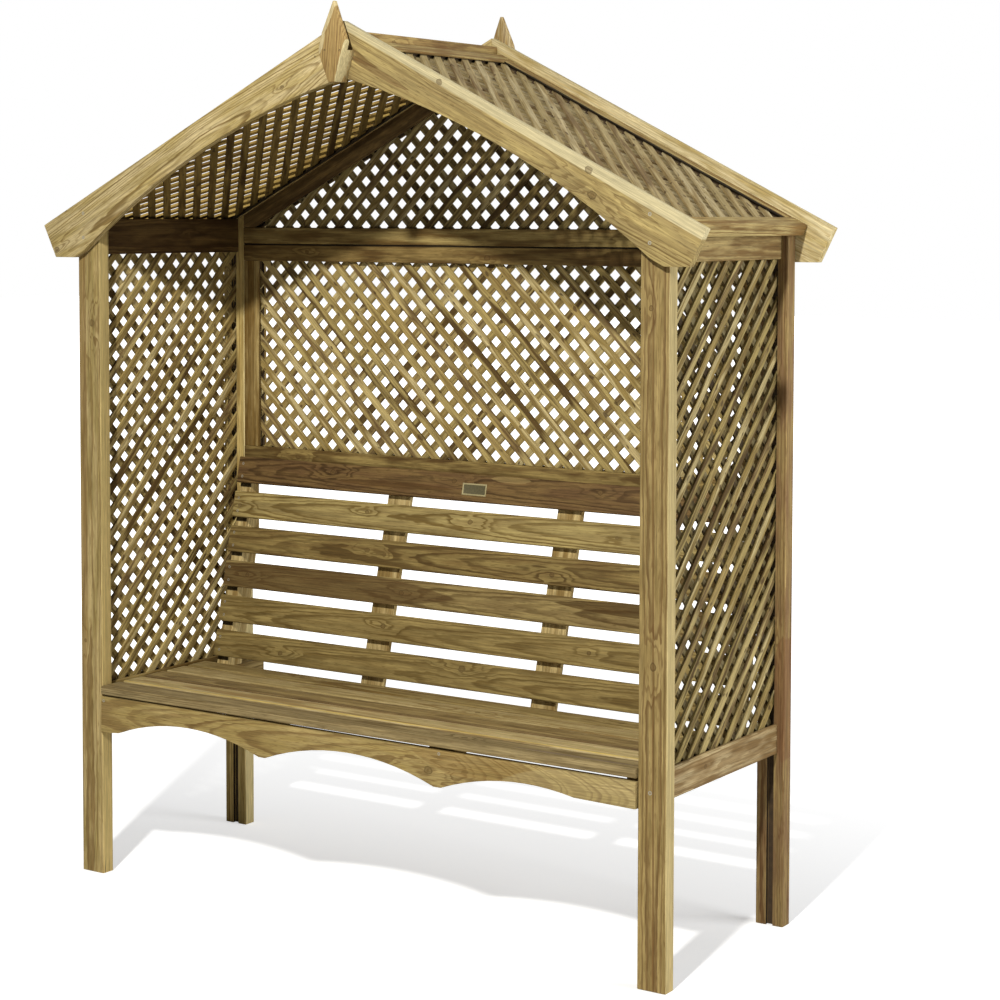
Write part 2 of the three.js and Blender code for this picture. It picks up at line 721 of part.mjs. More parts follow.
// The battens stray to the right on their way up, and the supports stand plumb
function backFrame() {
  const d0 = supportFrontDepth;
  const battenOutline = leaningStrip(d0, d0 + backBattenThickness, rearY);
  const supportOutline = leaningStrip(d0, d0 + supportDepth, rearY - supportSetIn);
  const stray = backBattenStray / (stripHeadZ - supportFootZ);
  const strayed = new THREE.Matrix4().makeShear(0, 0, 0, 0, stray, 0);
  const batten = (name, x) => pineMesh(name,
    uprightYZ(battenOutline, x - battenWidth / 2 - stray * supportFootZ, battenWidth)
      .applyMatrix4(strayed), 'back');
  const outerX = postInnerX - clearance;
  const support = (name, x0) => pineMesh(name,
    uprightYZ(supportOutline, x0, supportThickness), 'back');
  return [
    batten('back_left_batten', -leftBattenX),
    batten('back_right_batten', rightBattenX),
    support('back_left_support', -outerX),
    support('back_right_support', outerX - supportThickness),
  ];
}

const frontBoardY = frontY - clearance - bargeThickness;
const rearBoardY = rearY + clearance;
const arbourSeat = new THREE.Group();
arbourSeat.add(
  ...sidePanel('left', -1),
  ...sidePanel('right', 1),
  ...backPanel(),
  ...gablePanel(),
  ...roofPanel('left', -1),
  ...roofPanel('right', 1),
  ridgeBoard(),
  bargeboard('front_left_bargeboard', -1, frontBoardY),
  bargeboard('front_right_bargeboard', 1, frontBoardY),
  bargeboard('rear_left_bargeboard', -1, rearBoardY),
  bargeboard('rear_right_bargeboard', 1, rearBoardY),
  finial('front_finial', -1, frontBoardY - clearance - finialThickness, 0),
  finial('rear_finial', 1, rearBoardY + bargeThickness + clearance + finialThickness, rearFinialLift),
  apron(),
  ...seatFrame(),
  ...seatSlats(),
  ...backFrame(),
  ...backSlats(),
);

export default arbourSeat;
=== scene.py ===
import math

import bpy
from mathutils import Matrix, Vector


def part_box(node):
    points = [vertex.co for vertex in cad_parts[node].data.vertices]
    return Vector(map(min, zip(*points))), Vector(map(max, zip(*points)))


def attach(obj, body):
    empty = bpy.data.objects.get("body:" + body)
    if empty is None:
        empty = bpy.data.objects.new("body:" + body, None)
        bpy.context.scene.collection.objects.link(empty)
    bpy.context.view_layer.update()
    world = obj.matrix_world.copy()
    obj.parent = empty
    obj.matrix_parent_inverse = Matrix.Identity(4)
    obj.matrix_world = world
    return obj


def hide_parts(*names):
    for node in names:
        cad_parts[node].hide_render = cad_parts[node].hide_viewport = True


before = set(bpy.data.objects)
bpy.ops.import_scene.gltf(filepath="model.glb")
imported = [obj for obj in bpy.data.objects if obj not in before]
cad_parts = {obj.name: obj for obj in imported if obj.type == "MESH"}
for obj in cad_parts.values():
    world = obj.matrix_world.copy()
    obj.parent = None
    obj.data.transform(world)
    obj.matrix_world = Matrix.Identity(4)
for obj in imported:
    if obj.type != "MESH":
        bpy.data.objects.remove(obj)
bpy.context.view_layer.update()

scene = bpy.context.scene
scene.view_settings.view_transform = 'Standard'
X, Y, Z = Vector((1, 0, 0)), Vector((0, 1, 0)), Vector((0, 0, 1))


# Camera
# Eye height, standing off the right front corner. The shift keeps the posts upright.
camera_place = (3.165, -4.4585, 1.644)
yaw, pitch, roll = math.radians(33.43), math.radians(-3.14), math.radians(0.129)
eye = bpy.data.objects.new('camera', bpy.data.cameras.new('camera'))
scene.collection.objects.link(eye)
eye.data.lens = 82.33
eye.data.sensor_width = 36
eye.data.shift_y = -0.158
eye.matrix_world = (Matrix.Translation(camera_place) @ Matrix.Rotation(yaw, 4, 'Z')
                    @ Matrix.Rotation(math.radians(90) + pitch, 4, 'X')
                    @ Matrix.Rotation(roll, 4, 'Z'))
scene.camera = eye


# Studio
# One lamp high in front, a wide soft one off the right end, a dim room all round and a
# white paper floor that takes the shadow. To the camera room and floor are white.
def add(tree, kind, links, out=0, **settings):
    """Adds a node with its settings, links or fills its sockets, and gives its output."""
    node = tree.nodes.new('ShaderNode' + kind)
    for name, value in settings.items():
        setattr(node, name, value)
    for socket, value in links.items():
        if isinstance(value, bpy.types.NodeSocket):
            tree.links.new(value, node.inputs[socket])
        else:
            node.inputs[socket].default_value = value
    return node.outputs[out]


def area_lamp(name, place, target, energy, colour, **form):
    """An area lamp that looks at a target."""
    lamp = bpy.data.objects.new(name, bpy.data.lights.new(name, 'AREA'))
    scene.collection.objects.link(lamp)
    for setting, value in form.items():
        setattr(lamp.data, setting, value)
    lamp.data.energy = energy
    lamp.data.color = colour
    aim = (Vector(target) - Vector(place)).to_track_quat('-Z', 'Y').to_matrix().to_4x4()
    lamp.matrix_world = Matrix.Translation(place) @ aim


area_lamp('lamp', (1.64, -5.0, 4.73), (0, 0, 0.9), 385, (1.0, 0.985, 0.95),
          shape='DISK', size=0.28)
area_lamp('soft_lamp', (5.2, 0.9, 1.9), (0, 0, 1.0), 210, (0.97, 0.985, 1.0),
          shape='RECTANGLE', size=3.0, size_y=2.6)

room_light = 0.12
room = bpy.data.worlds.new('room')
scene.world = room
room.use_nodes = True
tree = room.node_tree
path = tree.nodes.new('ShaderNodeLightPath').outputs
seen = add(tree, 'Math', {0: path['Is Camera Ray'], 1: path['Is Glossy Ray']},
           operation='MAXIMUM')
seen = add(tree, 'Math', {0: seen, 1: path['Is Transmission Ray']}, operation='MAXIMUM')
strength = add(tree, 'MapRange', {'Value': seen, 'To Min': room_light, 'To Max': 1.0})
tree.links.new(strength, tree.nodes['Background'].inputs['Strength'])
tree.nodes['Background'].inputs['Color'].default_value = (1, 1, 1, 1)

floor_size, floor_drop = 60, 0.0005
bpy.ops.object.select_all(action='DESELECT')
bpy.ops.mesh.primitive_plane_add(size=floor_size, location=(0, 0, -floor_drop))
floor = bpy.context.object
floor.name = 'floor'
# The floor throws back most of its light. To the camera it glows as well, more so towards
# the back, which washes the shadow out, less under the soft lamp, and white far from the
# seat. The reaches are in metres from the middle of the seat.
thrown_back, shown = (0.74, 0.72, 0.69, 1), (0.86, 0.86, 0.86, 1)
glow_in_front, glow_behind, glow_far, glow_lost_right = 0.58, 0.88, 0.6, 0.21
back_reach, right_reach, far_reach = (0.05, 2.0), (-1.2, 0.9), (2.1, 4.2)
paper = bpy.data.materials.new('white_paper_floor')
paper.use_nodes = True
tree = paper.node_tree
sheet = tree.nodes['Principled BSDF']
seen = tree.nodes.new('ShaderNodeLightPath').outputs['Is Camera Ray']
white = add(tree, 'Mix', {0: seen, 6: thrown_back, 7: shown}, out=2, data_type='RGBA')
tree.links.new(white, sheet.inputs['Base Color'])
sheet.inputs['Roughness'].default_value = 1
sheet.inputs['Specular IOR Level'].default_value = 0
place = tree.nodes.new('ShaderNodeTexCoord').outputs['Object']
spot = tree.nodes.new('ShaderNodeSeparateXYZ')
tree.links.new(place, spot.inputs[0])
near = add(tree, 'MapRange', {'Value': spot.outputs[1], 'From Min': back_reach[0],
                              'From Max': back_reach[1], 'To Min': 1.0, 'To Max': 0.0})
near = add(tree, 'Math', {0: near, 1: 1.25}, operation='POWER')
glow = add(tree, 'MapRange', {'Value': near, 'To Min': glow_behind, 'To Max': glow_in_front})
far = add(tree, 'VectorMath', {0: place}, out='Value', operation='LENGTH')
far = add(tree, 'MapRange', {'Value': far, 'From Min': far_reach[0],
                             'From Max': far_reach[1], 'To Max': glow_far})
glow = add(tree, 'Math', {0: glow, 1: far}, operation='ADD')
right = add(tree, 'MapRange', {'Value': spot.outputs[0], 'From Min': right_reach[0],
                               'From Max': right_reach[1], 'To Max': glow_lost_right})
fade = add(tree, 'MapRange', {'Value': near, 'To Min': 0.5, 'To Max': 1.0})
right = add(tree, 'Math', {0: right, 1: fade}, operation='MULTIPLY')
glow = add(tree, 'Math', {0: glow, 1: right}, operation='SUBTRACT')
glow = add(tree, 'Math', {0: glow, 1: seen}, operation='MULTIPLY')
glow = add(tree, 'Emission', {'Color': (1, 1, 1, 1), 'Strength': glow})
both = add(tree, 'AddShader', {0: sheet.outputs[0], 1: glow})
tree.links.new(both, tree.nodes['Material Output'].inputs['Surface'])
floor.data.materials.append(paper)


# Posts
# Planed pine posts, pressure treated, which turns the pale wood olive. Each stands on its
# end grain with the panel groove ploughed down its inner edge, and its arrises are eased.
millimetres = 1000
arris = 0.0009
edge_band = 0.003  # no face that lies nearer than this to a piece's outside is its groove's
whole = 4000  # half length of a zone that runs all along its piece, in millimetres
wood_shine = 0.2
knot_heart, knot_rim = '#5C4626', '#3A2812'


def linear(code):
    """sRGB hex to the linear colour that a shader takes."""
    parts = [int(code[i:i + 2], 16) / 255 for i in (1, 3, 5)]
    return tuple(c / 12.92 if c <= 0.04045 else ((c + 0.055) / 1.055) ** 2.4
                 for c in parts) + (1,)


def weathered(tree, colour, fibre, relief, rough):
    """Gives a wood's shader its colour, its dull shine and the relief of its fibres."""
    shader = tree.nodes['Principled BSDF']
    tree.links.new(colour, shader.inputs['Base Color'])
    rough = add(tree, 'MapRange', {'Value': fibre, 'To Min': rough[0], 'To Max': rough[1]})
    tree.links.new(rough, shader.inputs['Roughness'])
    shader.inputs['Specular IOR Level'].default_value = wood_shine
    bump = add(tree, 'Bump', {'Height': relief, 'Strength': 0.4, 'Distance': 0.0005})
    tree.links.new(bump, shader.inputs['Normal'])


def pine(name, pale, dark, centre, along, across, pith=(8, -40), lean=(0.0, 0.05), ring=5.5,
         contrast=0.95, knots=(), zones=(), climb=None, foot=1.0, skin=None, patch=None,
         seed=0.0):
    """Planed pine, in millimetres on the board: l along it, w across it and t through it.
    Its growth rings are shells round a pith line that runs beside the board and leans a
    little, so they come out as the straight lines and arches of sawn timber. Real rings
    are 1.5 to 4 mm apart, drawn wider so that they show. knots are (l, w, radius), climb
    is (l, slope) from where the rings run out in arcs, and zones are streaks of other
    wood, pointed at their ends (l, w, half length, half width, slope, colour, share).
    Where skin is given they stay on the face below that t. foot is how much paler a post is
    painted towards its foot, as painted light thrown up by the floor, and patch the colour the
    treatment has left."""
    material = bpy.data.materials.new(name)
    material.use_nodes = True
    tree = material.node_tree
    along, across = Vector(along).normalized(), Vector(across).normalized()
    turn = Matrix((along, across, along.cross(across)))
    board = add(tree, 'Mapping', {
        'Vector': tree.nodes.new('ShaderNodeTexCoord').outputs['Object'],
        'Location': turn @ Vector(centre) * -millimetres,
        'Rotation': turn.to_euler(), 'Scale': [millimetres] * 3})
    parts = tree.nodes.new('ShaderNodeSeparateXYZ')
    tree.links.new(board, parts.inputs[0])
    l_mm, w_mm, t_mm = parts.outputs

    def grain(scale, shift, detail, out=0, rough=0.5):
        """Noise drawn out to a scale in millimetres."""
        at = add(tree, 'VectorMath', {0: board, 1: [1 / mm for mm in scale],
                                      2: (shift, shift / 2, -shift)}, operation='MULTIPLY_ADD')
        return add(tree, 'TexNoise', {'Vector': at, 'Scale': 1, 'Detail': detail,
                                      'Roughness': rough}, out=out)

    # Slow wander of the grain, and the small waves in it
    sway, ripple = 9.0, 3
    drift = add(tree, 'VectorMath', {
        0: grain((330, 70, 70), seed, 1, 'Color'), 1: (0, sway, sway),
        2: (0, -sway / 2 - pith[0], -sway / 2 - pith[1])}, operation='MULTIPLY_ADD')
    drift = add(tree, 'VectorMath', {
        0: grain((46, 9, 9), seed, 1, 'Color'), 1: (0, ripple, ripple), 2: drift},
        operation='MULTIPLY_ADD')
    tilt = add(tree, 'VectorMath', {0: (0, -lean[0], -lean[1]), 'Scale': l_mm},
               operation='SCALE')
    flat = add(tree, 'VectorMath', {0: board, 1: (0, 1, 1), 2: drift},
               operation='MULTIPLY_ADD')
    flat = add(tree, 'VectorMath', {0: flat, 1: tilt}, operation='ADD')
    shell = add(tree, 'VectorMath', {0: flat}, out='Value', operation='LENGTH')
    if climb:
        beyond = add(tree, 'Math', {0: l_mm, 1: climb[0]}, operation='SUBTRACT')
        beyond = add(tree, 'Math', {0: beyond, 1: 0.0}, operation='MAXIMUM')
        shell = add(tree, 'Math', {0: beyond, 1: climb[1], 2: shell},
                    operation='MULTIPLY_ADD')
    # Knots: the shells swell round each one, and inside it they close to small circles.
    # Both the swelling and the knot itself are drawn out along the board.
    swelling_squeeze, knot_squeeze = 0.26, 0.8
    nearest = None
    for knot_l, knot_w, radius in knots:
        reach, away = (add(tree, 'VectorMath', {
            0: board, 1: (squeeze / radius, 1 / radius, 0),
            2: (-squeeze * knot_l / radius, -knot_w / radius, 0)}, operation='MULTIPLY_ADD')
            for squeeze in (swelling_squeeze, knot_squeeze))
        reach = add(tree, 'VectorMath', {0: reach}, out='Value', operation='LENGTH')
        reach = add(tree, 'Math', {0: grain((50, 12, 12), seed + 7, 1), 1: 2.4, 2: reach},
                    operation='MULTIPLY_ADD')
        away = add(tree, 'VectorMath', {0: away}, out='Value', operation='LENGTH')
        swell = add(tree, 'MapRange', {'Value': reach, 'From Min': 5.2, 'From Max': 1.2,
                                       'To Max': radius * 1.9},
                    interpolation_type='SMOOTHSTEP')
        shell = add(tree, 'Math', {0: shell, 1: swell}, operation='ADD')
        nearest = away if nearest is None else add(tree, 'Math', {0: nearest, 1: away},
                                                   operation='MINIMUM')
    if knots:
        nearest = add(tree, 'Math', {0: grain((11, 8, 8), seed, 1), 1: 0.8, 2: nearest},
                      operation='MULTIPLY_ADD')
        core = add(tree, 'MapRange', {'Value': nearest, 'From Min': 1.45, 'From Max': 1.15},
                   interpolation_type='SMOOTHSTEP')
        circles = add(tree, 'Math', {0: nearest, 1: 9.0}, operation='MULTIPLY')
        shell = add(tree, 'Mix', {0: core, 2: shell, 3: circles})
    # Rings: pale spring wood that darkens to a thin line of summer wood, some years bolder
    uneven = add(tree, 'TexNoise', {'W': shell, 'Scale': 0.06, 'Detail': 1},
                 noise_dimensions='1D')
    phase = add(tree, 'Math', {0: shell, 1: 1 / ring, 2: seed}, operation='MULTIPLY_ADD')
    phase = add(tree, 'Math', {0: uneven, 1: 3.0, 2: phase}, operation='MULTIPLY_ADD')
    year = add(tree, 'Math', {0: phase}, operation='FLOOR')
    year = add(tree, 'TexWhiteNoise', {'W': year}, noise_dimensions='1D')
    phase = add(tree, 'Math', {0: phase}, operation='FRACT')
    rise = add(tree, 'MapRange', {'Value': phase, 'From Min': 0.40, 'From Max': 0.78},
               interpolation_type='SMOOTHSTEP')
    drop = add(tree, 'MapRange', {'Value': phase, 'From Min': 1.0, 'From Max': 0.91})
    late = add(tree, 'Math', {0: rise, 1: drop}, operation='MULTIPLY')
    bold = add(tree, 'MapRange', {'Value': year, 'To Min': contrast * 0.4,
                                  'To Max': contrast})
    late = add(tree, 'Math', {0: late, 1: bold}, operation='MULTIPLY')
    if knots:
        faint = add(tree, 'MapRange', {'Value': core, 'To Min': 1.0, 'To Max': 0.75})
        late = add(tree, 'Math', {0: late, 1: faint}, operation='MULTIPLY')
    # Streaks and fibres drawn out along the board, and the patches that the treatment leaves
    streak = grain((230, 3.6, 3.6), seed + 3, 3, rough=0.62)
    fibre = grain((34, 1.5, 1.5), seed, 2)
    blotch = add(tree, 'MapRange', {'Value': grain((130, 18, 18), seed + 5, 3),
                                    'From Min': 0.40, 'From Max': 0.62})
    dash = add(tree, 'MapRange', {'Value': grain((24, 2.4, 2.4), seed + 9, 1),
                                  'From Min': 0.60, 'From Max': 0.72, 'To Max': 0.55})
    colour = add(tree, 'Mix', {0: blotch, 6: linear(pale), 7: linear(patch or dark)},
                 out=2, data_type='RGBA')
    for share in (late, dash):
        colour = add(tree, 'Mix', {0: share, 6: colour, 7: linear(dark)},
                     out=2, data_type='RGBA')
    # Zones: the streaks give them a frayed edge
    fray = 5.0
    for zone_l, zone_w, half_l, half_w, slope, code, share in zones:
        side = add(tree, 'Math', {0: l_mm, 1: -slope, 2: w_mm}, operation='MULTIPLY_ADD')
        side = add(tree, 'Math', {0: streak, 1: fray, 2: side}, operation='MULTIPLY_ADD')
        side = add(tree, 'Math', {0: side, 1: zone_w - slope * zone_l + fray / 2},
                   operation='SUBTRACT')
        end = add(tree, 'Math', {0: l_mm, 1: zone_l}, operation='SUBTRACT')
        inside = add(tree, 'VectorMath', {
            0: add(tree, 'CombineXYZ', {0: end, 1: side}),
            1: (1 / half_l, 1 / half_w, 0)}, operation='MULTIPLY')
        inside = add(tree, 'VectorMath', {0: inside}, operation='ABSOLUTE')
        shares = tree.nodes.new('ShaderNodeSeparateXYZ')
        tree.links.new(inside, shares.inputs[0])
        tip = add(tree, 'Math', {0: shares.outputs[0], 1: 3.0}, operation='POWER')
        inside = add(tree, 'Math', {0: tip, 1: shares.outputs[1]}, operation='ADD')
        if skin is not None:
            deeper = add(tree, 'Math', {0: t_mm, 1: skin}, operation='GREATER_THAN')
            inside = add(tree, 'Math', {0: deeper, 1: 2.0, 2: inside},
                         operation='MULTIPLY_ADD')
        inside = add(tree, 'MapRange', {'Value': inside, 'From Min': 1.03, 'From Max': 0.95,
                                        'To Max': share})
        colour = add(tree, 'Mix', {0: inside, 6: colour, 7: linear(code)},
                     out=2, data_type='RGBA')
    if knots:
        heart = add(tree, 'Math', {0: core, 1: 0.55}, operation='MULTIPLY')
        colour = add(tree, 'Mix', {0: heart, 6: colour, 7: linear(knot_heart)},
                     out=2, data_type='RGBA')
        rim = add(tree, 'Math', {0: nearest, 1: 1.3, 2: 0.14}, operation='COMPARE')
        rim = add(tree, 'Math', {0: rim, 1: 0.8}, operation='MULTIPLY')
        rim = add(tree, 'Math', {0: rim, 1: streak}, operation='MULTIPLY')
        colour = add(tree, 'Mix', {0: rim, 6: colour, 7: linear(knot_rim)},
                     out=2, data_type='RGBA')
    # Light and dark of the streaks and the fibres, and painted light that makes the foot paler
    shade = add(tree, 'MapRange', {'Value': streak, 'From Min': 0.3, 'From Max': 0.7,
                                   'To Min': 0.73, 'To Max': 1.24})
    fine = add(tree, 'MapRange', {'Value': fibre, 'From Min': 0.3, 'From Max': 0.7,
                                  'To Min': 0.84, 'To Max': 1.14})
    shade = add(tree, 'Math', {0: shade, 1: fine}, operation='MULTIPLY')
    if foot > 1:
        painted_foot_light = add(tree, 'MapRange', {'Value': l_mm, 'From Min': -820, 'From Max': 200,
                                          'To Min': foot, 'To Max': 1.0})
        shade = add(tree, 'Math', {0: shade, 1: painted_foot_light}, operation='MULTIPLY')
    colour = add(tree, 'VectorMath', {0: colour, 'Scale': shade}, operation='SCALE')
    # The summer wood lies a little below the fibres round it
    relief = add(tree, 'Math', {0: late, 1: -0.5, 2: fibre}, operation='MULTIPLY_ADD')
    weathered(tree, colour, fibre, relief, rough=(0.62, 0.84))
    tree.nodes['Principled BSDF'].inputs['IOR'].default_value = 1.45
    return material


def mottled(name, low, high, scale, detail, rough, metallic=0.0):
    """A material between two colours in small spots. rough is one number or a range."""
    material = bpy.data.materials.new(name)
    material.use_nodes = True
    tree = material.node_tree
    shader = tree.nodes['Principled BSDF']
    spots = add(tree, 'TexNoise', {
        'Vector': tree.nodes.new('ShaderNodeTexCoord').outputs['Object'],
        'Scale': scale, 'Detail': detail})
    tint = add(tree, 'Mix', {0: spots, 6: linear(low), 7: linear(high)},
               out=2, data_type='RGBA')
    tree.links.new(tint, shader.inputs['Base Color'])
    shader.inputs['Metallic'].default_value = metallic
    if isinstance(rough, tuple):
        rough = add(tree, 'MapRange', {'Value': spots, 'To Min': rough[0],
                                       'To Max': rough[1]})
        tree.links.new(rough, shader.inputs['Roughness'])
    else:
        shader.inputs['Roughness'].default_value = rough
    return material


def rounded(piece, width, limit, smooth):
    """Rounds the edges of a piece that turn by more than the limit, and shades it."""
    rounding = piece.modifiers.new('rounding', 'BEVEL')
    rounding.width = width
    rounding.segments = 2
    rounding.limit_method = 'ANGLE'
    rounding.angle_limit = math.radians(limit)
    bpy.ops.object.modifier_apply(modifier='rounding')
    bpy.ops.object.shade_smooth_by_angle(angle=math.radians(smooth))


# Inside a groove the faces are painted near black: painted shade, as little light gets in.
groove = mottled('painted_groove_shade_pine', '#1C1308', '#4E3B20', scale=60, detail=3, rough=0.9)


def planed(node, material, grooved=()):
    """A copy of a sawn solid with its arrises rounded as a planer and sandpaper leave them.
    grooved is the piece's across and normal axis where a groove's faces are painted dark as
    painted shade."""
    bpy.ops.object.select_all(action='DESELECT')
    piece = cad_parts[node].copy()
    piece.data = piece.data.copy()
    piece.parent = None
    piece.name = node + '_timber'
    scene.collection.objects.link(piece)
    piece.data.materials.clear()
    piece.data.materials.append(material)
    bpy.context.view_layer.objects.active = piece
    piece.select_set(True)
    bpy.ops.object.mode_set(mode='EDIT')
    bpy.ops.mesh.select_all(action='SELECT')
    bpy.ops.mesh.remove_doubles(threshold=0.00001)
    bpy.ops.mesh.dissolve_limited(angle_limit=math.radians(0.5))
    bpy.ops.object.mode_set(mode='OBJECT')
    rounded(piece, arris, limit=30, smooth=32)
    if grooved:
        piece.data.materials.append(groove)
    for axis in grooved:
        reach = [axis.dot(vertex.co) for vertex in piece.data.vertices]
        low, high = min(reach) + edge_band, max(reach) - edge_band
        for face in piece.data.polygons:
            if abs(face.normal.dot(axis)) > 0.99 and low < face.center.dot(axis) < high:
                face.material_index = 1
    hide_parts(node)
    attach(piece, 'root')
    return piece


def middle(node):
    """The middle of a node's box."""
    low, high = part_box(node)
    return (Vector(low) + Vector(high)) / 2


# The pale zone at w 35 on the first three posts is painted light: it makes the right face
# paler, as if lit by the soft lamp off the right end.
posts = {
    'front_left_post': dict(
        pale='#AA9666', dark='#725A32', patch='#948250', pith=(-6, 30), lean=(0.002, 0.004),
        foot=1.32, seed=1.3, knots=((556, 10, 8), (-240, -20, 4)),
        zones=((0, 35, 900, 2, 0.0, '#C6B074', 0.75),
               (250, -24, 800, 14, 0.0, '#7E6238', 0.5))),
    'front_right_post': dict(
        pale='#998454', dark='#664E2C', patch='#826E42', pith=(4, 26), lean=(0.003, -0.003),
        foot=1.32, seed=4.1, knots=((631, -9, 5), (-126, 0, 7)),
        zones=((0, 0, whole, 2.4, -0.0066, '#5E4020', 0.6),
               (0, 35, 900, 2, 0.0, '#AC9C6E', 0.7))),
    'rear_left_post': dict(
        pale='#CCB474', dark='#886C38', patch='#B0985C', pith=(14, -30), lean=(0.002, 0.004),
        seed=7.7, knots=((260, 5, 6),), zones=((0, 35, 900, 2, 0.0, '#E0CE96', 0.85),)),
    'rear_right_post': dict(
        pale='#8E784C', dark='#5C4022', patch='#7A6040', pith=(-10, 34),
        lean=(-0.003, 0.002), seed=9.2, knots=((-140, 0, 7), (420, 8, 6)),
        zones=((-290, 30, 150, 30, 0.0, '#6E4C30', 0.55),)),
}
for node, looks in posts.items():
    wood = pine('planed_pine_' + node, centre=middle(node), along=Z, across=X, **looks)
    planed(node, wood, grooved=(X, Y))


# Panel rails and stiles
# Planed pine, 35 mm thick and grooved on the inner edge for the trellis. They are screwed
# up into side, back and gable panels, with a thin painted shadow line where two rails meet.
roof_pitch = math.radians(26.5)
down_right = Vector((math.cos(roof_pitch), 0, -math.sin(roof_pitch)))
down_left = Vector((math.cos(roof_pitch), 0, math.sin(roof_pitch)))
up_right = Vector((math.sin(roof_pitch), 0, math.cos(roof_pitch)))
up_left = Vector((-math.sin(roof_pitch), 0, math.cos(roof_pitch)))
# A thin dark line painted along the edges where two rails meet: painted shadow of the gap.
painted_joint_shadow = '#1C1409'
rails = {  # directions along and across, pale and dark wood, knots and zones
    'left_side_bottom_rail': (Y, Z, '#A38D58', '#6A5228', (), ()),
    'left_side_top_rail': (Y, Z, '#6A532E', '#402C14', ((60, 4, 6),), ()),
    'right_side_bottom_rail': (Y, Z, '#A6936C', '#725A36', ((-90, 6, 5),), ()),
    'right_side_top_rail': (Y, Z, '#9E8A5A', '#6C5430', (), ()),
    'back_panel_bottom_rail': (X, Z, '#9A844E', '#5A4422', ((-586, 1, 6),), ()),
    'back_panel_top_rail': (X, Z, '#8E7746', '#5A4422', ((-554, 3, 5), (12, -6, 7)),
                            ((0, 22, whole, 3, 0.0, painted_joint_shadow, 0.9),)),
    'back_panel_left_stile': (Z, X, '#A8925E', '#705628', (), ()),
    'back_panel_right_stile': (Z, X, '#A28B56', '#6C5228', (), ()),
    'gable_bottom_rail': (X, Z, '#9F8A55', '#644E28', ((420, 2, 5),),
                          ((0, -22, whole, 2, 0.0, painted_joint_shadow, 0.9),)),
    'gable_left_sloping_rail': (down_left, up_left, '#705A34', '#443218', (), ()),
    'gable_right_sloping_rail': (down_right, up_right, '#8A7444', '#54401F', (), ()),
    'seat_left_bearer': (Y, Z, '#A08A58', '#6A5228', (), ()),
    'seat_right_bearer': (Y, Z, '#A08A58', '#6A5228', (), ()),
}
for i, (node, (along, across, pale, dark, knots, zones)) in enumerate(rails.items()):
    wood = pine('planed_pine_' + node, pale, dark, middle(node), along, across,
                pith=(6 - 3 * (i % 4), -30), lean=(0.004, 0.01), knots=knots, zones=zones,
                seed=2.0 * i + 0.4)
    planed(node, wood, grooved=(across, along.cross(across)))


# Trellises
# Sawn pine battens, 18 mm wide and 6 mm thick, in two layers that cross. Each is cut from
# another piece, so the tone jumps from batten to batten: straw, olive and brown.
batten_pitch = 40.3
layer_step, noise_reach = 71.3, 900.0  # set the layers and the battens apart in the noise
batten_knot = '#45301A'


